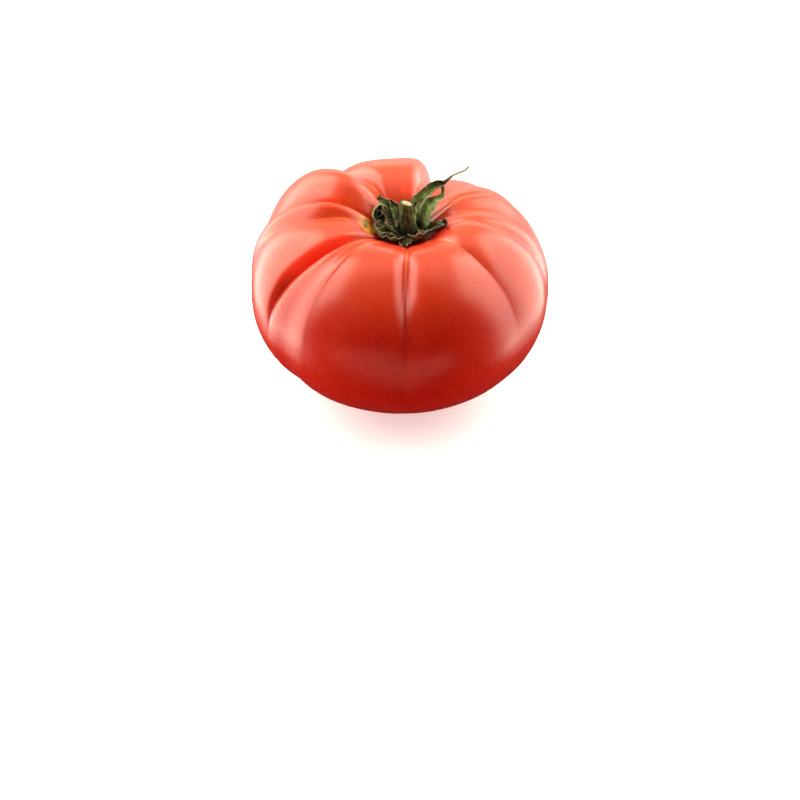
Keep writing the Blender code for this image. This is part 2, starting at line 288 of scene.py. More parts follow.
@dataclass(frozen=True)
class TomatoSkin:
    """The waxy skin of a ripe pink tomato.

    It is a clear, thin, waxy layer over red flesh, so the eye gets a deep red seen through a soft
    white shine. It carries fine golden dots and pale lines along its creases, and is olive and
    yellow where it meets the calyx. Painted light brightens the walls of the deeper creases and
    turns the skin lighter and more orange towards the top and back, over its own orange patches,
    and painted shade darkens the sunken stalk end. Sizes are in millimetres.
    """

    deep: str = "#ac1d0a"
    # Lighter orange: on the skin's own random patches, and as painted light towards the top and back
    warm: str = "#d24820"
    # Painted light: the brighter red laid on the walls of the deeper creases
    glow: str = "#ee4a30"
    shade: str = "#8f0a05"
    line: str = "#e98a55"
    speckle: str = "#e2823f"
    ring_yellow: str = "#c98a2a"
    ring_olive: str = "#5c5a1e"
    cork: str = "#8a6a48"
    roughness: float = 0.27
    # How fast the painted light grows towards the back and the top, per metre
    painted_light_direction: tuple[float, float, float] = (0.0, 6.0, 20.0)
    patch_size: float = 26.0
    speckle_spacing: float = 0.6
    streak_size: float = 3.0
    grain_size: float = 0.7
    grain_depth: float = 0.05
    flesh_depth: float = 5.0

    def material(self) -> Finish:
        """The material, with its patterns on the object's own coordinates."""
        made, tree, shader = new_material("tomato_skin")
        place = add_node(tree, "ShaderNodeTexCoord", {}, "Object")
        cloudy = {"Vector": place, "Scale": per_metre(self.patch_size), "Detail": 2.0}
        patches = add_node(tree, "ShaderNodeTexNoise", cloudy)
        # Painted light: the skin turns lighter and more orange towards the top and back
        towards = {0: place, 1: self.painted_light_direction}
        rise = add_node(tree, "ShaderNodeVectorMath", towards, "Value", operation="DOT_PRODUCT")
        patches_and_painted_light = add_node(tree, "ShaderNodeMath", {0: patches, 1: 0.6, 2: rise}, operation="MULTIPLY_ADD")
        grainy = {"Vector": place, "Scale": per_metre(self.grain_size), "Detail": 3.0}
        grain = add_node(tree, "ShaderNodeTexNoise", grainy)
        relief = {"Height": grain, "Strength": 0.12, "Distance": self.grain_depth * MM}
        layers = [
            (self.warm, patches_and_painted_light, 1.0, 1.9, 1.0),
            (self.speckle, self.dots(tree, place), 0.0, 1.0, 1.0),
            *self.marks(tree, place),
        ]
        looks = {
            "Base Color": lay_over(tree, linear(self.deep), layers),
            "Normal": add_node(tree, "ShaderNodeBump", relief),
            "Roughness": self.roughness,
            "IOR": 1.45,
            "Subsurface Weight": 0.6,
            "Subsurface Radius": (1.0, 0.12, 0.05),
            "Subsurface Scale": self.flesh_depth * MM,
        }
        set_inputs(tree, shader, looks)
        return made

    def dots(self, tree: Tree, place: Socket) -> Socket:
        """The mask of the fine golden dots, each with its own strength.

        Args:
            tree: The material's node tree.
            place: The object's own coordinates.

        Returns:
            How much of a dot's colour there is.
        """
        cells = {"Vector": place, "Scale": per_metre(self.speckle_spacing), "Randomness": 1.0}
        distance = add_node(tree, "ShaderNodeTexVoronoi", cells, "Distance")
        limits = {"Value": distance, "From Min": 0.4, "From Max": 0.1, "To Max": 0.3}
        share = add_node(tree, "ShaderNodeMapRange", limits)
        strengths = {0: share, 1: distance.node.outputs["Color"]}
        return add_node(tree, "ShaderNodeMath", strengths, operation="MULTIPLY")

    def marks(self, tree: Tree, place: Socket) -> list[tuple]:
        """The painted light on the crease walls, the painted shade in the sunken stalk end, the pale
        crease lines, the skin by the calyx and the blossom scar.

        Args:
            tree: The material's node tree.
            place: The object's own coordinates.

        Returns:
            The layers, as `lay_over` reads them.
        """
        names = "painted_crease_light", "cavity_shade", "crease_line", "calyx_ring", "blossom_scar"
        glow, shade, line, ring, scar = (
            add_node(tree, "ShaderNodeAttribute", {}, "Fac", attribute_name=name) for name in names
        )
        streaky = {"Vector": place, "Scale": per_metre(self.streak_size), "Detail": 3.0}
        streaks = add_node(tree, "ShaderNodeTexNoise", streaky)
        uneven = add_node(tree, "ShaderNodeMath", {0: streaks, 1: 1.2, 2: 0.4}, operation="MULTIPLY_ADD")
        ring, scar = (
            add_node(tree, "ShaderNodeMath", {0: mask, 1: uneven}, operation="MULTIPLY")
            for mask in (ring, scar)
        )
        return [
            # Painted light on the crease walls, then painted shade in the sunken stalk end
            (self.glow, glow, 0.0, 1.0, 1.0),
            (self.shade, shade, 0.0, 1.0, 1.0),
            (self.line, line, 0.0, 1.0, 1.0),
            (self.ring_yellow, ring, 0.35, 0.75, 1.0),
            (self.ring_olive, ring, 0.75, 1.05, 1.0),
            (self.cork, scar, 0.55, 0.8, 1.0),
        ]


@dataclass(frozen=True)
class DriedSepal:
    """The papery blade of a dried sepal.

    It is thin leaf that has shrivelled, so the eye gets a dull, wrinkled green that turns olive and
    then brown-black towards the tip, with pale hairy margins and lengthwise veins. It carries
    painted shade that makes it nearly black at its foot, deep in the calyx. Sizes are in millimetres.
    """

    green: str = "#566a22"
    light_green: str = "#9cab6c"
    olive: str = "#77722f"
    brown: str = "#36270e"
    black: str = "#171306"
    margin: str = "#a2a289"
    vein_count: float = 7.0
    mottle_size: float = 2.2
    wrinkle_size: float = 0.55
    wrinkle_depth: float = 0.12
    roughness: float = 0.72

    def material(self) -> Finish:
        """The material, with its veins and margins on the blade's own UV map."""
        made, tree, shader = new_material("dried_sepal")
        place = add_node(tree, "ShaderNodeTexCoord", {}, "Object")
        across = add_node(tree, "ShaderNodeSeparateXYZ", {0: place.node.outputs["UV"]}, "X")
        along = across.node.outputs["Y"]
        dryness = add_node(tree, "ShaderNodeAttribute", {}, "Fac", attribute_name="dryness")
        mottled = {"Vector": place, "Scale": per_metre(self.mottle_size), "Detail": 4.0, "Roughness": 0.6}
        mottle = add_node(tree, "ShaderNodeTexNoise", mottled)
        wrinkled = {"Vector": place, "Scale": per_metre(self.wrinkle_size), "Detail": 3.0}
        fine = add_node(tree, "ShaderNodeTexNoise", wrinkled)
        turns = {0: across, 1: self.vein_count * math.pi}
        stripes = add_node(tree, "ShaderNodeMath", turns, operation="MULTIPLY")
        veins = add_node(tree, "ShaderNodeMath", {0: stripes}, operation="SINE")
        ridge = add_node(tree, "ShaderNodeMath", {0: veins, 1: 6.0}, operation="POWER")
        wilt = add_node(tree, "ShaderNodeMath", {0: dryness, 1: 0.6, 2: mottle}, operation="MULTIPLY_ADD")
        dry = add_node(tree, "ShaderNodeMath", {0: dryness, 1: 0.45, 2: along}, operation="MULTIPLY_ADD")
        burnt = add_node(tree, "ShaderNodeMath", {0: mottle, 1: 0.5, 2: dry}, operation="MULTIPLY_ADD")
        # Painted shade: the blade turns nearly black towards its foot, deep in the calyx
        foot = add_node(tree, "ShaderNodeMath", {0: mottle, 1: 0.3, 2: along}, operation="MULTIPLY_ADD")
        layers = [
            (self.light_green, mottle, 0.4, 0.62, 1.0),
            (self.olive, wilt, 0.62, 0.95, 1.0),
            (self.margin, ridge, 0.0, 1.0, 0.3),
            (self.brown, burnt, 1.12, 1.34, 1.0),
            (self.black, burnt, 1.34, 1.6, 1.0),
            (self.margin, self.rim(tree, across, fine), 0.0, 1.0, 1.0),
            # Painted shade at the foot
            (self.black, foot, 0.66, 0.34, 0.85),
        ]
        height = add_node(tree, "ShaderNodeMath", {0: ridge, 1: 0.6, 2: fine}, operation="MULTIPLY_ADD")
        relief = {"Height": height, "Strength": 0.7, "Distance": self.wrinkle_depth * MM}
        looks = {
            "Base Color": lay_over(tree, linear(self.green), layers),
            "Normal": add_node(tree, "ShaderNodeBump", relief),
            "Roughness": self.roughness,
            "IOR": 1.4,
            "Specular IOR Level": 0.2,
            "Sheen Weight": 0.08,
            "Sheen Roughness": 0.5,
        }
        set_inputs(tree, shader, looks)
        return made

    def rim(self, tree: Tree, across: Socket, fine: Socket) -> Socket:
        """The mask of the broken line of dry hairs along both margins, and of a blade pale all over.

        Args:
            tree: The material's node tree.
            across: The place across the blade, from 0 to 1.
            fine: The noise that frays the line.

        Returns:
            How much of the margin's colour there is.
        """
        paleness = add_node(tree, "ShaderNodeAttribute", {}, "Fac", attribute_name="paleness")
        middle = add_node(tree, "ShaderNodeMath", {0: across, 1: 0.5}, operation="SUBTRACT")
        off = add_node(tree, "ShaderNodeMath", {0: middle}, operation="ABSOLUTE")
        frayed = add_node(tree, "ShaderNodeMath", {0: fine, 1: 0.06, 2: off}, operation="MULTIPLY_ADD")
        limits = {"Value": frayed, "From Min": 0.47, "From Max": 0.53, "To Max": 0.8}
        share = add_node(tree, "ShaderNodeMapRange", limits)
        return add_node(tree, "ShaderNodeMath", {0: share, 1: paleness}, operation="MAXIMUM")


@dataclass(frozen=True)
class StalkBark:
    """The bark of a dry tomato stalk.

    It is ribbed green stem that has dried, so the eye gets a dark grey-green with brown streaks
    along its length and a dull surface, nearly black at its foot. Sizes are in millimetres.
    """

    dark: str = "#26240e"
    green: str = "#5c6126"
    brown: str = "#5a4820"
    dark_foot: str = "#14130a"
    green_size: float = 1.1
    brown_size: float = 0.6
    dark_foot_start: float = 65.5
    dark_foot_full: float = 59.5
    furrow_depth: float = 0.15
    roughness: float = 0.75

    def material(self) -> Finish:
        """The material, with streaks drawn out along the stalk."""
        made, tree, shader = new_material("stalk_bark")
        place = add_node(tree, "ShaderNodeTexCoord", {}, "Object")
        drawn = add_node(tree, "ShaderNodeMapping", {"Vector": place, "Scale": (1.0, 1.0, 0.18)})
        greenish, brownish = (
            add_node(tree, "ShaderNodeTexNoise", {"Vector": drawn, "Scale": scale, "Detail": 3.0})
            for scale in (per_metre(self.green_size), per_metre(self.brown_size))
        )
        height = add_node(tree, "ShaderNodeSeparateXYZ", {0: place}, "Z")
        layers = [
            (self.green, greenish, 0.42, 0.6, 1.0),
            (self.brown, brownish, 0.55, 0.68, 1.0),
            # Darker towards the foot of the stub
            (self.dark_foot, height, self.dark_foot_start * MM, self.dark_foot_full * MM, 0.8),
        ]
        relief = {"Height": brownish, "Strength": 0.6, "Distance": self.furrow_depth * MM}
        looks = {
            "Base Color": lay_over(tree, linear(self.dark), layers),
            "Normal": add_node(tree, "ShaderNodeBump", relief),
            "Roughness": self.roughness,
            "Specular IOR Level": 0.2,
            "Sheen Weight": 0.08,
        }
        set_inputs(tree, shader, looks)
        return made


@dataclass(frozen=True)
class CutPith:
    """The cut face of the stalk: dry pith, torn across, so a matt cream with darker fibres."""

    cream: str = "#aaa382"
    fibre: str = "#7a6d3c"
    fibre_size: float = 0.45
    fibre_depth: float = 0.1
    roughness: float = 0.85

    def material(self) -> Finish:
        """The material, with fine fibres."""
        made, tree, shader = new_material("cut_pith")
        place = add_node(tree, "ShaderNodeTexCoord", {}, "Object")
        fibrous = {"Vector": place, "Scale": per_metre(self.fibre_size), "Detail": 4.0}
        fibres = add_node(tree, "ShaderNodeTexNoise", fibrous)
        relief = {"Height": fibres, "Strength": 0.8, "Distance": self.fibre_depth * MM}
        looks = {
            "Base Color": lay_over(tree, linear(self.cream), [(self.fibre, fibres, 0.5, 0.72, 1.0)]),
            "Normal": add_node(tree, "ShaderNodeBump", relief),
            "Roughness": self.roughness,
        }
        set_inputs(tree, shader, looks)
        return made


@dataclass(frozen=True)
class PlantHair:
    """The short, colourless hairs of a tomato plant, which read as a pale fuzz."""

    colour: str = "#aea678"
    roughness: float = 0.5

    def material(self) -> Finish:
        """The material."""
        made, tree, shader = new_material("plant_hair")
        set_inputs(tree, shader, {"Base Color": linear(self.colour), "Roughness": self.roughness})
        return made


@dataclass(frozen=True)
class Crease:
    """A crease between two lobes, with how sharply its two walls rise and how far it reaches.

    swing is how many degrees further round it starts at the stalk than it is at the fruit's side.
    """

    azimuth: float
    depth: float
    sharp_before: float
    sharp_after: float
    reach: float
    swing: float = 0.0


@dataclass
class Fruit:
    """The ribbed fruit: a turned body with a sunken stalk end, parted into lobes by creases."""

    half_width: float = 50.0
    top_height: float = 36.0
    bottom_height: float = 34.8
    top_squareness: float = 2.35
    bottom_squareness: float = 2.05
    cavity_depth: float = 15.0
    cavity_radius: float = 15.5
    stalk_offset: float = 2.2
    flat_polar: float = 168.0
    creases: tuple[Crease, ...] = (
        Crease(2, 3.4, 4.5, 4.5, 110),
        Crease(51, 1.6, 2.8, 3.4, 92, -3.0),
        Crease(85, 2.0, 2.2, 2.2, 110),
        Crease(118, 1.8, 2.0, 2.0, 120),
        Crease(164, 10.0, 1.5, 8.0, 150),
        Crease(210, 5.0, 4.5, 2.6, 82),
        Crease(252, 4.0, 9.0, 3.2, 64, 4.0),
        Crease(269, 1.0, 4.5, 3.0, 68, 8.0),
        Crease(299, 5.4, 9.0, 3.0, 98, 8.0),
        Crease(321, 0.9, 2.6, 3.4, 76, 0.0),
    )
    # The lobe after each crease: how far it bulges outwards and how far its shoulder is raised
    lobes: tuple[tuple[float, float], ...] = (
        (0.5, 0.0), (0.5, 0.0), (0.0, -2.8), (-2.2, -4.8), (-0.8, -0.3),
        (2.0, 4.0), (0.6, 2.0), (0.0, 0.5), (-1.0, -2.0), (-0.3, 0.0),
    )
    crease_rounding: float = 0.03
    swing_polar: float = 62.0
    crease_start_polar: float = 30.0
    crease_start_share: float = 0.05
    crease_full_reach: float = 0.35
    shoulder_polar: float = 30.0
    columns_per_lobe: int = 38
    column_evenness: float = 0.35
    rings: int = 230
    base_rings: int = 16
    ring_crowding: float = 1.2
    dent_height: float = 0.5
    dent_size: float = 17.0
    dented_from: float = 20.0
    wrinkle_height: float = 0.16
    wrinkle_radius: float = 10.0
    wrinkle_reach: float = 5.0
    wrinkle_spokes: float = 9.0
    # The painted light on the walls of the deeper creases
    painted_light_width: float = 6.5
    painted_light_depth: float = 2.9
    painted_light_rise: float = 2.2
    painted_light_polar: float = 150.0
    painted_light_fade: float = 60.0
    # The shade in the sunken stalk end, widest where the azimuth's cosine is shade_place
    shade_share: float = 0.95
    shade_radius: float = 8.6
    shade_widening: float = 5.2
    shade_place: float = 0.35
    shade_reach: float = 0.3
    shade_edge: float = 3.2
    # The pale lines that run into the stalk end along the creases
    line_share: float = 0.5
    line_width: float = 0.5
    line_polar: float = 19.0
    line_reach: float = 6.0
    # The olive and yellow skin beside the calyx, ring_place of the way round from the front
    ring_radius: float = 13.2
    ring_width: float = 2.6
    ring_place: float = 0.775
    ring_reach: float = 0.07
    # The dimple of the blossom end, and the corky scar on it
    scar_radius: float = 3.4
    scar_depth: float = 1.6
    dimple_slope: float = 1.6
    dimple_start: float = 0.45

    def profile(self, polar: np.ndarray | float) -> tuple[np.ndarray, np.ndarray]:
        """The outline of the turned body, without its creases.

        Args:
            polar: Polar angles in radians.

        Returns:
            The radius and the height at each.
        """
        sine, cosine = np.sin(polar), np.cos(polar)
        top = cosine > 0.0
        power = 2.0 / np.where(top, self.top_squareness, self.bottom_squareness)
        radius = self.half_width * np.maximum(sine, 0.0) ** power
        tallest = np.where(top, self.top_height, self.bottom_height)
        height = tallest * np.sign(cosine) * np.abs(cosine) ** power
        return radius, height - np.where(top, self.cavity_depth * hill(radius, self.cavity_radius), 0.0)

    def profile_normal(self, polar: np.ndarray) -> tuple[np.ndarray, np.ndarray]:
        """The outward direction of the turned body.

        Args:
            polar: Polar angles in radians.

        Returns:
            Its radial share and its upward share at each.
        """
        step = 0.001
        before, after = self.profile(polar - step), self.profile(polar + step)
        along, down = after[0] - before[0], after[1] - before[1]
        length = np.maximum(np.hypot(along, down), 1e-12)
        return -down / length, along / length

    def crease_fade(self, degrees: np.ndarray, reach: np.ndarray) -> np.ndarray:
        """How much of a crease's depth there is along it.

        Args:
            degrees: Polar angles in degrees.
            reach: The polar angle where the crease ends.

        Returns:
            A share of its depth for each angle.
        """
        rise = ease(degrees / self.crease_start_polar)
        full = self.crease_full_reach * reach
        fall = 1.0 - ease((degrees - full) / (reach - full))
        return rise * (self.crease_start_share + (1.0 - self.crease_start_share) * fall)

    def crease_wall(self, share: np.ndarray, sharpness: np.ndarray) -> np.ndarray:
        """Depth share of a crease at a share of the way to the middle of its lobe."""
        rounded = np.sqrt(share * share + self.crease_rounding**2)
        return np.maximum(1.0 - rounded, 0.0) ** sharpness

    @property
    def flat_height(self) -> float:
        """Height of the flat resting spot from the widest plane."""
        return float(self.profile(math.radians(self.flat_polar))[1])

    @property
    def flat_radius(self) -> float:
        """Radius of the flat resting spot."""
        return float(self.profile(math.radians(self.flat_polar))[0])

    def placed(self, points: np.ndarray) -> np.ndarray:
        """Points in millimetres from the widest plane, as metres above the resting spot."""
        return (np.asarray(points) - np.array([0.0, 0.0, self.flat_height])) * MM

    def skin(self, polar: np.ndarray, lobe: np.ndarray, share: np.ndarray) -> dict[str, np.ndarray]:
        """The skin's points and the masks that its material reads.

        Args:
            polar: Polar angles in radians.
            lobe: The number of the lobe that each point is on.
            share: How far along its lobe each point is, from 0 at the lobe's own crease to 1.

        Returns:
            The points in millimetres under "place", and one array for each mask.
        """
        creases = np.array([astuple(crease) for crease in self.creases])
        start, end = creases[lobe].T, creases[(lobe + 1) % len(creases)].T
        degrees = np.degrees(polar)
        swung = 1.0 - ease(degrees / self.swing_polar)
        width = (end[0] - start[0]) % 360 + (end[5] - start[5]) * swung
        azimuth = np.radians(start[0] + start[5] * swung + share * width)
        fades = self.crease_fade(degrees, start[4]), self.crease_fade(degrees, end[4])
        walls = self.crease_wall(2 * share, start[3]), self.crease_wall(2 - 2 * share, end[2])
        sunk = start[1] * fades[0] * walls[0] + end[1] * fades[1] * walls[1]
        crown = np.sin(np.pi * share) ** 2
        bulge, lift = np.array(self.lobes)[lobe].T
        spread, height = self.profile(polar)
        out, up = self.profile_normal(polar)
        height = height - up * sunk
        radius = np.maximum(spread - out * sunk + bulge * crown * np.sin(polar) ** 2, 0.0)
        top = np.cos(polar) > 0.0
        raised = lift * crown * ease(degrees / self.shoulder_polar)
        raised = raised * np.sqrt(np.clip(np.cos(polar), 0.0, 1.0))
        height = height + np.where(top, raised, 0.0)
        offset = np.where(top, self.stalk_offset * (1.0 - ease(spread / self.half_width)), 0.0)
        nearest = np.minimum(share, 1.0 - share) * np.radians(width) * np.maximum(radius, 1.0)
        strength = np.where(share < 0.5, start[1] * fades[0], end[1] * fades[1])
        # Painted light on the walls of the deeper creases, strongest where a crease is deep and gone
        # towards the blossom end
        glow = ease((strength - self.painted_light_depth) / self.painted_light_rise)
        glow = glow * ease((self.painted_light_polar - degrees) / self.painted_light_fade)
        shaded = self.shade_radius + self.shade_widening * hill(
            np.cos(azimuth) - self.shade_place, self.shade_reach
        )
        shade = hill(np.maximum(spread - shaded, 0.0), self.shade_edge)
        line = hill(nearest, self.line_width) * hill(degrees - self.line_polar, self.line_reach)
        beside = hill(azimuth / TURN - self.ring_place, self.ring_reach)
        level = radius * np.sin(azimuth) + offset, -radius * np.cos(azimuth)
        return {
            "place": np.column_stack([*level, height]),
            "painted_crease_light": hill(nearest, self.painted_light_width) * glow,
            "cavity_shade": self.shade_share * shade * top,
            "crease_line": self.line_share * line * top,
            "calyx_ring": hill(spread - self.ring_radius, self.ring_width) * beside * top,
            "blossom_scar": np.where(top, 0.0, hill(radius, self.scar_radius)),
        }

    def build(self, finish: TomatoSkin) -> Piece:
        """Model the fruit from a sphere whose columns follow the creases.

        Args:
            finish: The skin's finish.

        Returns:
            The finished piece.
        """
        columns = self.columns_per_lobe * len(self.creases)
        fruit, ball, ring = new_sphere(columns, self.rings)
        turn = np.arctan2(ball[:, 0], -ball[:, 1]) / TURN
        column = np.rint(turn * columns).astype(int) % columns
        lobe, step = np.divmod(column, self.columns_per_lobe)
        straight = step / self.columns_per_lobe
        share = self.column_evenness * straight + (1.0 - self.column_evenness) * ease(straight)
        body_rings = self.rings - self.base_rings
        down = np.minimum(ring / body_rings, 1.0) ** self.ring_crowding
        polar = np.maximum(math.radians(self.flat_polar) * down, 1e-4)
        masks = self.skin(polar, lobe, share)
        points = masks.pop("place")
        inward = np.clip((ring - body_rings) / self.base_rings, 0.0, 1.0)
        base = ring >= body_rings
        points[base, :2] *= (1.0 - inward[base])[:, None]
        dimple = ease(self.dimple_slope * inward[base] - self.dimple_start)
        points[base, 2] = self.flat_height + self.scar_depth * dimple
        masks["blossom_scar"][base] = hill(self.flat_radius * (1.0 - inward[base]), self.scar_radius)
        points = self.with_unevenness(points, polar, base)
        move_points(fruit.data, self.placed(points))
        for name, values in masks.items():
            write_mask(fruit.data, name, values)
        hand_over(fruit, "tomato_fruit", finish.material(), Part.FRUIT)
        return fruit

    def with_unevenness(self, points: np.ndarray, polar: np.ndarray, base: np.ndarray) -> np.ndarray:
        """Add the shallow dents of a grown fruit, and fine wrinkles where the skin meets the calyx.

        Args:
            points: The skin's points, in millimetres.
            polar: Their polar angles in radians.
            base: Which of them are on the resting spot, and stay where they are.

        Returns:
            The moved points.
        """
        radius = np.hypot(points[:, 0] - self.stalk_offset, points[:, 1])
        direction = points / np.maximum(np.linalg.norm(points, axis=1), 1.0)[:, None]
        dents = self.dent_height * rough(points, self.dent_size, 1) * ease(radius / self.dented_from)
        azimuth = np.arctan2(points[:, 0] - self.stalk_offset, -points[:, 1])
        around = self.wrinkle_spokes * np.sin(azimuth), self.wrinkle_spokes * np.cos(azimuth)
        spokes = np.column_stack([*around, radius / self.wrinkle_spokes])
        wrinkles = self.wrinkle_height * rough(spokes, 1.0, 2)
        wrinkles = wrinkles * hill(radius - self.wrinkle_radius, self.wrinkle_reach)
        moved = points + direction * np.where(base, 0.0, dents)[:, None]
        moved[:, 2] += np.where(np.cos(polar) > 0.0, wrinkles, 0.0)
        moved[:, 2] = np.maximum(moved[:, 2], self.flat_height)
        return moved


@dataclass
class Sepal:
    """One dried sepal, or a shrivelled shred of one.

    azimuth is where it leaves the hub. Each station is (x, y, z, width) in millimetres from the
    hub's centre. gutter lifts both margins by that share of the width. curl and tip_curl are how
    far the margins have turned in, in degrees, at the neck and at the tip, and roll is how far the
    blade has turned about its spine by its tip. coil is how many turns the tip has rolled up
    by, and coil_radius how wide that roll is. dryness and paleness set its colour. A shred that
    is not rooted has torn off a blade and lies among the others.
    """

    name: str
    azimuth: float
    stations: list[tuple[float, float, float, float]]
    gutter: float = 0.18
    curl: float = 25.0
    tip_curl: float = 120.0
    roll: float = 0.0
    coil: float = 0.0
    coil_radius: float = 0.9
    wave: float = 0.3
    crumple: float = 0.35
    dryness: float = 0.4
    paleness: float = 0.0
    rooted: bool = True
    rows: int = 84
    columns: int = 18


@dataclass
class Calyx:
    """The dried calyx: a small hub on the floor of the cavity, with the sepals growing out of it."""

    fruit: Fruit
    surface: BVHTree
    sepals: list[Sepal]
    clearance: float = 0.35
    hub_radius: float = 4.8
    hub_half_height: float = 1.6
    hub_segments: int = 64
    hub_rings: int = 32
    knob_height: float = 0.12
    knob_size: float = 0.35
    hub_dryness: float = 0.8
    rest_gap: float = 0.12
    thickness: float = 0.26
    root: tuple[float, float, float] = (1.6, 0.3, 3.4)
    neck: tuple[float, float, float] = (3.9, 1.2, 4.2)
    narrowest: float = 0.3
    ripples: float = 4.5
    lift_passes: int = 6
    coil_rows: int = 30
    coil_tightening: float = 0.6
    coil_narrowing: float = 0.5
    coil_pitch: float = 0.12
    raggedness: float = 0.16
    tear_size: float = 0.9
    fold_size: float = 1.7
    wrinkle_size: float = 0.7
    sway_size: float = 1.3
    bend_steps: int = 25
    bend_power: float = 2.2
    rib_height: float = 0.22
    rib_width: float = 0.32

    @property
    def hub_centre(self) -> np.ndarray:
        """The hub's centre, in millimetres from the fruit's widest plane."""
        fruit = self.fruit
        floor = fruit.top_height - fruit.cavity_depth
        return np.array([fruit.stalk_offset, 0.0, floor + self.clearance + self.hub_half_height])

    def floor_height(self, point: np.ndarray) -> float:
        """Height of the skin straight below a point, in metres."""
        hit = self.surface.ray_cast(Vector((point[0], point[1], 1.0)), Vector((0.0, 0.0, -1.0)))[0]
        return hit.z if hit else 0.0

    def build(self, finish: DriedSepal) -> list[Piece]:
        """Model the hub and every sepal.

        Args:
            finish: The sepals' finish.

        Returns:
            The finished pieces, the hub first.
        """
        material = finish.material()
        hub = self.build_hub(material)
        return [hub, *(self.build_sepal(sepal, seed, material) for seed, sepal in enumerate(self.sepals))]

    def build_hub(self, material: Finish) -> Piece:
        """Model the hub from a flattened, knobbly sphere that rests on the skin.

        Args:
            material: The sepals' finish.

        Returns:
            The finished piece.
        """
        hub, ball, _ = new_sphere(self.hub_segments, self.hub_rings)
        points = ball * np.array([self.hub_radius, self.hub_radius, self.hub_half_height])
        points *= 1.0 + self.knob_height * rough(ball, self.knob_size, 3)[:, None]
        placed = self.fruit.placed(points + self.hub_centre)
        for point in placed:
            point[2] = max(point[2], self.floor_height(point) + self.rest_gap * MM)
        move_points(hub.data, placed)
        write_mask(hub.data, "dryness", np.full(len(ball), self.hub_dryness))
        write_mask(hub.data, "paleness", np.zeros(len(ball)))
        hand_over(hub, "calyx_hub", material, Part.CALYX)
        return hub

    def spine(self, sepal: Sepal) -> tuple[np.ndarray, np.ndarray, np.ndarray, np.ndarray]:
        """The curve of a sepal and the directions of its blade along it.

        Args:
            sepal: The sepal.

        Returns:
            The points and widths of its rows, and their lengthwise, sideways and facing directions.
        """
        out = outward(sepal.azimuth)
        roots = (self.root, self.neck) if sepal.rooted else ()
        ends = [[*out[:2] * reach, height, width] for reach, height, width in roots]
        curve = curve_through(np.array([*ends, *sepal.stations]), sepal.rows)
        side = np.cross(out, [0.0, 0.0, 1.0])
        along, sides, faces = self.directions(curve, side, sepal.roll)
        if sepal.coil > 0.0:
            turn = np.linspace(0.0, TURN * sepal.coil, self.coil_rows)[1:, None]
            radius = sepal.coil_radius * (1.0 - self.coil_tightening * turn / turn[-1])
            centre = curve[-1, :3] + faces[-1] * sepal.coil_radius
            loop = centre + radius * (along[-1] * np.sin(turn) - faces[-1] * np.cos(turn))
            loop = loop + sides[-1] * self.coil_pitch * turn * sepal.coil_radius
            width = curve[-1, 3] * (1.0 - self.coil_narrowing * turn / turn[-1])
            curve = np.vstack([curve, np.hstack([loop, width])])
            curve = curve_through(curve[::2], sepal.rows)
            along, sides, faces = self.directions(curve, side, sepal.roll)
        return curve, along, sides, faces

    def directions(
        self, curve: np.ndarray, side: np.ndarray, roll: float
    ) -> tuple[np.ndarray, np.ndarray, np.ndarray]:
        """The directions of a blade along its curve, with as little turning as can be.

        Args:
            curve: The points of the curve.
            side: The sideways direction to start from.
            roll: How many degrees the blade has turned about its curve by its end.

        Returns:
            The lengthwise, sideways and facing directions.
        """
        steps = np.gradient(curve[:, :3], axis=0)
        along = steps / np.linalg.norm(steps, axis=1)[:, None]
        sides, faces = [], []
        for row, direction in enumerate(along):
            side = side - direction * np.dot(side, direction)
            side = side / np.linalg.norm(side)
            angle = math.radians(roll) * row / (len(along) - 1)
            turned = side * math.cos(angle) + np.cross(direction, side) * math.sin(angle)
            sides.append(turned)
            faces.append(np.cross(turned, direction))
        return along, np.array(sides), np.array(faces)

    def blade(self, sepal: Sepal, seed: int, across: np.ndarray, row: np.ndarray) -> np.ndarray:
        """Places of a blade's points, in millimetres from the fruit's widest plane.

        Args:
            sepal: The sepal.
            seed: Which patch of noise shapes its crumples.
            across: From -1 at one margin to 1 at the other.
            row: The number of each point's row.

        Returns:
            One place for each point.
        """
        curve, _, sides, faces = self.spine(sepal)
        off = np.abs(across)
        share = row / sepal.rows
        width = np.maximum(curve[row, 3], self.narrowest)
        length = np.linalg.norm(np.diff(curve[:, :3], axis=0), axis=1).sum()
        run = share * length
        ragged = rough(np.column_stack([run, 9.0 * np.sign(across), run * 0.0]), self.tear_size, seed)
        half = width / 2.0 * (1.0 + self.raggedness * ragged * off * ease(3.0 * share - 0.5))
        curl = np.radians(sepal.curl + (sepal.tip_curl - sepal.curl) * ease(share))
        curl = curl * ease(3.0 * share - 0.4)
        bend = curl[:, None] * (off[:, None] * np.linspace(0.0, 1.0, self.bend_steps)) ** self.bend_power
        flat = half * across * np.cos(bend).mean(axis=1)
        rise = half * off * np.sin(bend).mean(axis=1)
        wave = np.sin(TURN * self.ripples * share + 2.0 * seed + 1.5 * across)
        rise += sepal.gutter * width * across**2 + sepal.wave * wave * ease(4 * share - 1) * off
        rib = self.rib_height * hill(flat, self.rib_width)
        rise += rib * ease(5.0 * share) * ease(4.0 * (1.0 - share))
        sheet = np.column_stack([flat, run, np.full(len(run), 3.0)])
        strength = sepal.crumple * ease(2.5 * share) * (0.4 + 0.6 * share)
        folds = rough(sheet, self.fold_size, seed + 20) + 0.5 * rough(sheet, self.wrinkle_size, seed + 40)
        rise += strength * folds
        flat += 0.5 * strength * rough(sheet, self.sway_size, seed + 60)
        return self.hub_centre + curve[row, :3] + sides[row] * flat[:, None] + faces[row] * rise[:, None]

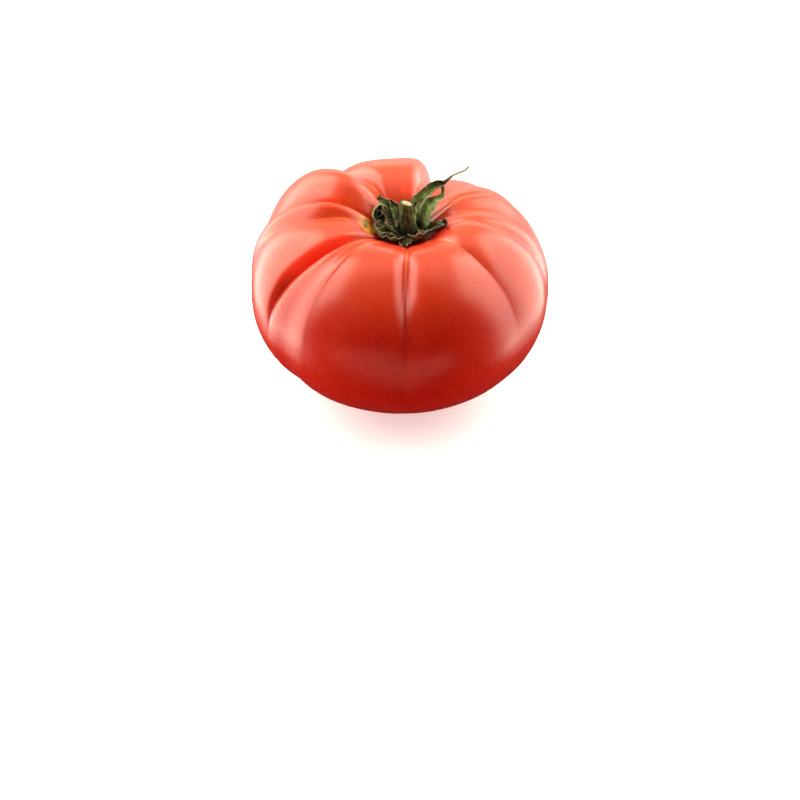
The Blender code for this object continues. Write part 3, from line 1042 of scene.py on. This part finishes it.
    def build_sepal(self, sepal: Sepal, seed: int, material: Finish) -> Piece:
        """Model one sepal: a grid laid along its curve, lifted clear of the skin, then thickened.

        Args:
            sepal: The sepal.
            seed: Which patch of noise shapes its crumples.
            material: The sepals' finish.

        Returns:
            The finished piece.
        """
        bpy.ops.object.select_all(action="DESELECT")
        bpy.ops.mesh.primitive_grid_add(x_subdivisions=sepal.columns, y_subdivisions=sepal.rows, size=2.0)
        blade = bpy.context.object
        grid = read_points(blade.data)
        row = np.rint((grid[:, 1] + 1.0) / 2.0 * sepal.rows).astype(int)
        points = self.fruit.placed(self.blade(sepal, seed, grid[:, 0], row))
        gap = (self.rest_gap + self.thickness / 2.0) * MM
        need = np.array([self.floor_height(point) + gap for point in points]) - points[:, 2]
        lifts = np.zeros(sepal.rows + 1)
        np.maximum.at(lifts, row, need)
        for _ in range(self.lift_passes):
            padded = np.concatenate([lifts[:1], lifts, lifts[-1:]])
            lifts = np.maximum(lifts, (padded[:-2] + padded[2:]) / 2.0)
        points[:, 2] += lifts[row]
        move_points(blade.data, points)
        for name in ("dryness", "paleness"):
            write_mask(blade.data, name, np.full(len(grid), getattr(sepal, name)))
        shell = blade.modifiers.new("thickness", "SOLIDIFY")
        shell.thickness = self.thickness * MM
        shell.offset = 0.0
        finer = blade.modifiers.new("finer", "SUBSURF")
        finer.levels = 1
        finer.render_levels = 1
        for modifier in list(blade.modifiers):
            bpy.ops.object.modifier_apply(modifier=modifier.name)
        hand_over(blade, sepal.name, material, Part.CALYX)
        return blade


# What the small shreds in the middle share
SHRED = {"gutter": 0.4, "rooted": False, "rows": 48, "columns": 10}
SEPALS = [
    Sepal(
        "sepal_front", 2, [(-0.2, -4.8, 1.6, 5.6), (-0.6, -7.8, 2.0, 4.2), (-0.9, -10.8, 2.8, 1.2)],
        gutter=-0.1, tip_curl=90.0, dryness=1.3,
    ),
    Sepal(
        "sepal_front_right", 48,
        [(3.0, -4.6, 1.9, 4.6), (5.7, -5.2, 3.0, 3.8), (7.7, -4.2, 3.9, 1.8), (8.6, -3.4, 4.4, 1.0)],
        gutter=0.3, crumple=0.5, dryness=0.7,
    ),
    Sepal(
        "sepal_right", 97,
        [(7.4, -1.2, 2.0, 4.6), (10.6, -1.4, 3.2, 4.2), (12.7, -1.6, 4.5, 2.6), (13.3, -1.2, 6.2, 1.6)],
        gutter=0.3, tip_curl=170.0, coil=1.1, coil_radius=0.85, crumple=0.6, dryness=0.85,
    ),
    Sepal(
        "sepal_right_broad", 128,
        [
            (4.2, 3.0, 4.6, 11.0), (6.9, 4.8, 7.0, 9.0), (9.4, 6.2, 8.6, 5.0), (11.3, 7.4, 9.4, 2.4),
            (12.2, 9.0, 10.8, 1.8), (12.0, 10.4, 11.9, 1.4),
        ],
        gutter=0.02, curl=5.0, tip_curl=110.0, dryness=0.05,
    ),
    Sepal(
        "sepal_back_long", 158,
        [
            (2.6, 4.6, 4.4, 5.2), (4.1, 6.8, 7.8, 5.0), (6.6, 9.0, 9.7, 4.6), (9.2, 10.4, 11.2, 4.2),
            (11.2, 11.1, 11.8, 3.0), (12.4, 11.5, 12.0, 1.8),
        ],
        gutter=0.22, curl=35.0, tip_curl=110.0, dryness=0.3, rows=100,
    ),
    Sepal(
        "sepal_back_long_thread", 158,
        [
            (11.9, 11.4, 11.8, 1.3), (13.0, 11.9, 12.7, 1.15), (15.3, 12.6, 14.5, 1.0),
            (17.6, 13.4, 15.1, 0.95), (19.3, 14.0, 15.5, 0.9), (20.7, 14.3, 17.0, 0.75),
        ],
        gutter=0.0, curl=150.0, tip_curl=150.0, wave=0.0,
        crumple=0.05, paleness=0.75, rooted=False, columns=8,
    ),
    Sepal(
        "sepal_back", 188, [(-0.6, 6.0, 2.8, 4.4), (-1.0, 7.6, 5.4, 3.4), (-1.4, 8.2, 7.2, 1.4)],
        dryness=0.5,
    ),
    Sepal(
        "sepal_back_left", 212,
        [(-2.9, 4.6, 2.8, 4.6), (-4.0, 6.2, 5.2, 4.6), (-5.0, 7.0, 7.0, 3.0), (-5.6, 7.2, 8.4, 1.2)],
        gutter=0.16, tip_curl=90.0, dryness=0.35,
    ),
    Sepal(
        "sepal_back_left_curled", 232,
        [
            (-4.4, 3.0, 2.4, 5.6), (-6.2, 5.2, 4.6, 6.6), (-7.8, 6.4, 6.9, 5.6), (-8.8, 7.0, 8.4, 2.6),
            (-9.5, 7.2, 9.2, 1.6),
        ],
        curl=5.0, tip_curl=80.0, coil=1.2, coil_radius=0.75, dryness=0.5,
    ),
    Sepal(
        "sepal_left", 262,
        [
            (-6.8, 1.0, 2.6, 5.4), (-9.8, 1.5, 3.9, 5.6), (-11.3, 2.8, 5.9, 4.8), (-10.5, 4.2, 7.9, 3.0),
            (-8.8, 4.8, 8.6, 2.2), (-7.0, 4.6, 8.1, 1.9), (-6.4, 4.0, 6.6, 1.7), (-7.4, 3.4, 5.3, 1.5),
            (-8.8, 3.2, 5.9, 1.3), (-9.1, 3.5, 7.2, 1.1), (-8.2, 3.8, 7.9, 1.0),
        ],
        gutter=0.12, curl=20.0, tip_curl=60.0, roll=40.0, wave=0.15, crumple=0.3, dryness=0.55, rows=130,
    ),
    Sepal(
        "sepal_left_short", 292,
        [(-5.2, -1.6, 2.6, 4.4), (-7.0, -1.6, 4.4, 3.4), (-7.0, -0.6, 6.0, 2.2), (-5.6, -0.2, 6.4, 1.3)],
        gutter=0.3, crumple=0.6, coil=0.8, coil_radius=0.7, dryness=0.8,
    ),
    Sepal(
        "sepal_front_left", 314,
        [
            (-5.0, -3.4, 2.0, 4.6), (-8.4, -4.6, 3.3, 4.4), (-10.7, -4.0, 4.6, 3.4),
            (-11.0, -2.8, 6.2, 2.4), (-9.5, -1.4, 7.0, 1.6), (-8.2, -1.2, 6.0, 1.1),
        ],
        gutter=0.25, crumple=0.45, dryness=0.6,
    ),
    Sepal(
        "sepal_front_left_low", 330,
        [(-3.7, -5.2, 1.7, 4.4), (-6.8, -6.9, 3.1, 3.6), (-9.4, -7.3, 4.4, 1.6)],
        gutter=0.2, crumple=0.5, dryness=0.75,
    ),
    Sepal(
        "sepal_collar", 120,
        [(2.7, 1.6, 4.2, 3.4), (3.2, 2.8, 7.0, 3.0), (3.5, 3.6, 9.0, 2.2), (3.3, 4.0, 10.2, 1.0)],
        gutter=0.3, dryness=0.2,
    ),
    Sepal(
        "shred_behind", 232, [(-7.4, 4.6, 3.4, 4.6), (-8.5, 5.2, 5.6, 6.2), (-8.9, 5.8, 7.5, 4.0)],
        gutter=0.0, curl=0.0, tip_curl=60.0, dryness=1.4, rooted=False, rows=48,
    ),
    Sepal(
        "shred_coil", 262,
        [
            (-9.9, 2.6, 6.2, 0.9), (-9.7, 3.2, 7.1, 0.9), (-8.7, 3.4, 7.4, 0.8), (-7.9, 2.9, 6.9, 0.8),
            (-8.1, 2.3, 6.0, 0.7), (-9.1, 2.0, 5.7, 0.5),
        ],
        gutter=0.0, wave=0.0, crumple=0.08, paleness=0.8, dryness=0.5, rooted=False, rows=60, columns=8,
    ),
    Sepal(
        "shred_right", 97,
        [(9.2, -1.0, 2.8, 1.6), (10.4, -0.4, 4.2, 1.8), (11.6, -0.8, 5.0, 1.4), (11.9, -1.6, 4.3, 1.0)],
        coil=0.5, coil_radius=0.5, crumple=0.2, paleness=0.45, **SHRED,
    ),
    Sepal(
        "shred_left", 300,
        [(-6.4, -3.0, 2.4, 1.4), (-8.0, -2.4, 3.4, 1.6), (-8.2, -1.4, 4.4, 1.2), (-7.0, -1.4, 4.9, 0.9)],
        coil=0.7, coil_radius=0.5, crumple=0.2, paleness=0.35, **SHRED,
    ),
    Sepal(
        "shred_middle", 320,
        [(-3.4, -3.2, 1.9, 1.5), (-5.0, -2.8, 3.0, 1.7), (-5.9, -2.0, 3.9, 1.3), (-5.2, -1.6, 4.6, 0.9)],
        coil=0.8, coil_radius=0.5, crumple=0.2, paleness=0.4, **SHRED,
    ),
    Sepal(
        "shred_inner", 270,
        [(-2.8, -1.6, 2.4, 1.6), (-4.0, -0.8, 3.9, 1.8), (-3.6, -0.2, 5.4, 1.4), (-2.6, -0.4, 6.0, 0.9)],
        crumple=0.3, paleness=0.3, **SHRED,
    ),
]


@dataclass
class StalkStub:
    """The stub of the stalk: a ribbed tube that leans backwards, swells at its foot and is cut across."""

    calyx: Calyx
    length: float = 9.0
    lean: float = 2.7
    bend: float = 1.6
    radius: float = 2.1
    flare: float = 0.35
    knuckle: float = 0.06
    knuckle_place: float = 0.7
    knuckle_length: float = 0.1
    segments: int = 72
    rows: int = 56
    ribs: int = 5
    rib_height: float = 0.07
    rim: float = 0.82
    rim_rings: int = 8
    rim_depth: float = 0.9
    foot_depth: float = 0.9
    mean_radius: float = 2.4
    furrow_height: float = 0.16
    furrow_size: float = 0.55
    furrow_length: float = 6.0
    grain_height: float = 0.06
    grain_size: float = 0.5
    tear_height: float = 0.25
    tear_size: float = 1.2
    cut_slope: tuple[float, float] = (-0.3, -0.26)
    pith_segments: int = 48
    pith_rings: int = 32
    pith_overlap: float = 1.04
    pith_half_height: float = 0.55
    pith_depth: float = 0.42
    pith_hollow: float = 0.22
    pith_roughness: float = 0.16
    pith_tear_size: float = 0.55
    pith_hollow_reach: float = 0.45

    def centre(self, share: np.ndarray | float) -> np.ndarray:
        """Centre of the stub at a share of its length, in millimetres from the fruit's widest plane."""
        share = np.asarray(share, dtype=float)
        foot = self.calyx.hub_centre + [0.0, 0.0, self.calyx.hub_half_height + self.calyx.clearance]
        return foot + np.stack([0.0 * share, self.lean * share**self.bend, self.length * share], axis=-1)

    def thickness(self, share: np.ndarray) -> np.ndarray:
        """Radius of the stub at a share of its length."""
        swell = self.knuckle * hill(share - self.knuckle_place, self.knuckle_length)
        return self.radius * (1.0 + self.flare * np.maximum(1.0 - share, 0.0) ** 1.5 + swell)

    def cut_height(self, points: np.ndarray) -> np.ndarray:
        """How much the slanting cut is raised at each point, as the knife left it."""
        return (points - self.centre(1.0))[:, :2] @ np.array(self.cut_slope)

    def build(self, bark: StalkBark, pith: CutPith) -> list[Piece]:
        """Model the bark and the cut face.

        Args:
            bark: The bark's finish.
            pith: The cut face's finish.

        Returns:
            The two finished pieces.
        """
        return [self.build_bark(bark.material()), self.build_pith(pith.material())]

    def build_bark(self, material: Finish) -> Piece:
        """Model the bark from a sphere whose first rings make the rim of the cut.

        Args:
            material: The bark's finish.

        Returns:
            The finished piece.
        """
        bark, ball, ring = new_sphere(self.segments, self.rows)
        turn = np.arctan2(ball[:, 0], -ball[:, 1])
        cut = ring <= self.rim_rings
        body_rows = self.rows - 1 - self.rim_rings
        share = np.where(cut, 1.0, 1.0 - (ring - self.rim_rings) / body_rows)
        ribs = np.abs(np.sin(self.ribs * turn / 2.0)) ** 0.7
        radius = self.thickness(share) * (1.0 + self.rib_height * (ribs - 0.5) * (1.0 + share))
        inner = np.clip(ring / self.rim_rings, 0.0, 1.0)
        radius = np.where(cut, radius * inner, radius)
        radius = np.where(ring >= self.rows, 0.0, radius)
        points = self.centre(np.clip(share, 0.0, 1.0))
        points[:, 0] += radius * np.sin(turn)
        points[:, 1] -= radius * np.cos(turn)
        hollow = self.rim_depth * (1.0 - ease((inner - self.rim) / (1.0 - self.rim)))
        points[:, 2] -= np.where(cut, hollow, 0.0)
        points[:, 2] -= np.where(share <= 0.0, self.foot_depth, 0.0)
        points[:, 2] += self.cut_height(points) * ease(4.0 * share - 3.0)
        move_points(bark.data, self.calyx.fruit.placed(self.with_bark_relief(points, turn, share)))
        hand_over(bark, "stalk_bark", material, Part.STEM)
        return bark

    def with_bark_relief(self, points: np.ndarray, turn: np.ndarray, share: np.ndarray) -> np.ndarray:
        """Add the lengthwise furrows of dry bark and a torn, uneven cut.

        Args:
            points: The bark's points, in millimetres.
            turn: Their azimuths in radians.
            share: How far along the stub they are.

        Returns:
            The moved points.
        """
        circle = self.mean_radius * np.sin(turn), self.mean_radius * np.cos(turn)
        around = np.column_stack([*circle, share * self.length / self.furrow_length])
        furrow = self.furrow_height * rough(around, self.furrow_size, 5)
        furrow = furrow + self.grain_height * rough(points, self.grain_size, 6)
        out = np.column_stack([np.sin(turn), -np.cos(turn), 0.0 * turn])
        moved = points + out * furrow[:, None]
        torn = self.tear_height * rough(around[:, :2] @ np.eye(2, 3), self.tear_size, 7)
        moved[:, 2] += torn * ease(8.0 * share - 7.0)
        return moved

    def build_pith(self, material: Finish) -> Piece:
        """Model the pith as a low, torn dome that fills the rim of the cut.

        Args:
            material: The cut face's finish.

        Returns:
            The finished piece.
        """
        pith, ball, _ = new_sphere(self.pith_segments, self.pith_rings)
        reach = self.thickness(np.array(1.0)) * self.rim * self.pith_overlap
        points = ball * np.array([reach, reach, self.pith_half_height])
        hollow = self.pith_hollow * hill(np.hypot(ball[:, 0], ball[:, 1]), self.pith_hollow_reach)
        torn = self.pith_roughness * rough(ball * reach, self.pith_tear_size, 8)
        points[:, 2] += torn - np.where(ball[:, 2] > 0.0, hollow, 0.0)
        points += self.centre(1.0) + [0.0, 0.0, -self.pith_depth]
        points[:, 2] += self.cut_height(points)
        move_points(pith.data, self.calyx.fruit.placed(points))
        hand_over(pith, "stalk_pith", material, Part.STEM)
        return pith


@dataclass
class HairCoat:
    """Short plant hairs that stand on the stub or on the sepals, all in one piece."""

    name: str
    part: Part
    hosts: list[Piece]
    count: int
    shortest: float
    longest: float
    width: float = 0.05
    sunk: float = 0.08
    lean: float = 0.35
    seed: int = 4

    def build(self, material: Finish) -> Piece:
        """Model one tapered hair and set its copies on the hosts at random, with a seeded draw.

        Args:
            material: The hairs' finish.

        Returns:
            The finished piece.
        """
        bpy.ops.object.select_all(action="DESELECT")
        bpy.ops.mesh.primitive_cone_add(vertices=3, radius1=1.0, depth=1.0, location=(0.0, 0.0, 0.5))
        hair = bpy.context.object
        bpy.ops.object.transform_apply(location=True, rotation=False, scale=False)
        pattern = read_points(hair.data)
        faces = [tuple(polygon.vertices) for polygon in hair.data.polygons]
        draw = np.random.default_rng(self.seed)
        points, polygons = [], []
        number = round(self.count / len(self.hosts))
        for host in self.hosts:
            for index in draw.integers(0, len(host.data.polygons), number):
                polygon = host.data.polygons[index]
                length = draw.uniform(self.shortest, self.longest) * MM
                lean = Vector(draw.normal(0.0, self.lean, 3))
                rotation = (polygon.normal + lean).to_track_quat("Z", "Y").to_matrix()
                scale = Matrix.Diagonal((self.width / 2.0 * MM, self.width / 2.0 * MM, length))
                root = np.array(polygon.center - polygon.normal * self.sunk * MM)
                start = len(points) * len(pattern)
                points.append(pattern @ np.array(rotation @ scale).T + root)
                polygons += [tuple(start + corner for corner in face) for face in faces]
        mesh = bpy.data.meshes.new(self.name)
        mesh.from_pydata(np.vstack(points).tolist(), [], polygons)
        hair.data = mesh
        hand_over(hair, self.name, material, self.part)
        return hair


@dataclass(frozen=True)
class Softbox:
    """A flat, even light panel that faces the fruit. Lengths are in metres, angles in degrees.

    The tint is the light's colour, and a panel that doesn't shine lights the fruit without a reflection.
    """

    name: str
    azimuth: float
    elevation: float
    distance: float
    width: float
    height: float
    radiance: float
    tint: str = "#ffffff"
    shines: bool = True
    watts_per_radiance: float = 4.0

    def place(self, target: Vector) -> None:
        """Set the panel up, facing the target.

        Args:
            target: The point that all panels face.
        """
        lamp = bpy.data.lights.new(self.name, "AREA")
        lamp.shape = "RECTANGLE"
        lamp.size = self.width
        lamp.size_y = self.height
        lamp.energy = self.watts_per_radiance * self.radiance * self.width * self.height
        lamp.color = linear(self.tint)[:3]
        panel = bpy.data.objects.new(self.name, lamp)
        bpy.context.scene.collection.objects.link(panel)
        level = Vector(outward(self.azimuth)) * math.cos(math.radians(self.elevation))
        back = level + Vector((0.0, 0.0, math.sin(math.radians(self.elevation))))
        panel.location = target + back * self.distance
        panel.rotation_euler = back.to_track_quat("Z", "Y").to_euler()
        panel.visible_camera = False
        panel.visible_glossy = self.shines


@dataclass
class Studio:
    """A pale floor, soft panels round the fruit and a camera looking down on its front."""

    target: Vector
    camera_elevation: float = 40.0
    camera_distance: float = 0.9
    camera_pitch: float = 42.42
    lens: float = 120.3
    floor_size: float = 9.0
    floor_gap: float = 0.05
    floor_tone: str = "#f4f3f5"
    floor_roughness: float = 0.9
    floor_glow: float = 0.45
    room_tone: str = "#c4c6cc"
    room_strength: float = 0.06
    panels: tuple[Softbox, ...] = (
        Softbox("panel_left", -108.0, 12.0, 1.1, 1.45, 2.4, 3.0, "#fffbeb"),
        Softbox("panel_left_rim", -106.0, 9.0, 1.1, 1.9, 2.7, 1.2, "#fffbeb"),
        Softbox("panel_right", 111.0, 12.0, 1.1, 1.4, 2.4, 2.5, "#fffbeb"),
        Softbox("panel_right_rim", 110.0, 9.0, 1.1, 1.8, 2.7, 1.1, "#fffbeb"),
        Softbox("panel_back", 180.0, 43.0, 1.2, 2.2, 2.3, 1.05, "#fff3da"),
        Softbox("panel_top", 180.0, 74.0, 1.2, 1.7, 1.2, 0.45, "#fff3da"),
        Softbox("panel_low", 180.0, -10.0, 1.3, 3.0, 1.3, 0.7),
        Softbox("card_front", -8.0, -20.0, 1.2, 2.0, 0.6, 1.0, "#ffbcaa"),
        Softbox("fill_low", 0.0, -30.0, 1.2, 1.6, 1.2, 1.4, "#ff5a3c", shines=False),
    )

    def build(self) -> None:
        """Set up the floor, the room's dim light, the panels and the camera."""
        self.build_floor()
        world = bpy.data.worlds.new("room")
        world.use_nodes = True
        tree = world.node_tree
        light = {"Color": linear(self.room_tone), "Strength": self.room_strength}
        set_inputs(tree, tree.nodes["Background"], light)
        bpy.context.scene.world = world
        for panel in self.panels:
            panel.place(self.target)
        self.build_camera()
        bpy.context.scene.view_settings.view_transform = "Standard"

    def build_floor(self) -> None:
        """Lay a matt paper floor under the resting spot, lit through from below."""
        bpy.ops.object.select_all(action="DESELECT")
        bpy.ops.mesh.primitive_plane_add(size=self.floor_size, location=(0.0, 0.0, -self.floor_gap * MM))
        floor = bpy.context.object
        floor.name = "paper_floor"
        material, tree, shader = new_material("matt_paper")
        tone = linear(self.floor_tone)
        glow = {"Emission Color": tone, "Emission Strength": self.floor_glow}
        set_inputs(tree, shader, {"Base Color": tone, "Roughness": self.floor_roughness, **glow})
        floor.data.materials.append(material)
        floor.visible_diffuse = False
        floor.visible_glossy = False
        floor.visible_shadow = False

    def build_camera(self) -> None:
        """Put the camera in front of the fruit and above it."""
        camera = bpy.data.objects.new("camera", bpy.data.cameras.new("camera"))
        bpy.context.scene.collection.objects.link(camera)
        rise = math.radians(self.camera_elevation)
        away = Vector((0.0, -math.cos(rise), math.sin(rise)))
        camera.location = self.target + away * self.camera_distance
        camera.rotation_euler = (math.radians(90.0 - self.camera_pitch), 0.0, 0.0)
        camera.data.lens = self.lens
        bpy.context.scene.camera = camera


def main() -> None:
    """Build the fruit, its calyx, its stalk and the studio."""
    logging.basicConfig(level=logging.INFO, format="%(message)s")
    fruit = Fruit()
    skin = fruit.build(TomatoSkin())
    surface = BVHTree.FromPolygons(
        [vertex.co for vertex in skin.data.vertices],
        [polygon.vertices for polygon in skin.data.polygons],
    )
    calyx = Calyx(fruit, surface, SEPALS)
    leaves = calyx.build(DriedSepal())
    stub = StalkStub(calyx)
    bark, _ = stub.build(StalkBark(), CutPith())
    fuzz = PlantHair().material()
    HairCoat("stalk_hairs", Part.STEM, [bark], 500, 0.3, 0.7).build(fuzz)
    HairCoat("calyx_hairs", Part.CALYX, leaves, 1400, 0.25, 0.5).build(fuzz)
    Studio(Vector((0.0, 0.0, -fruit.flat_height * MM))).build()


if __name__ == "__main__":
    main()
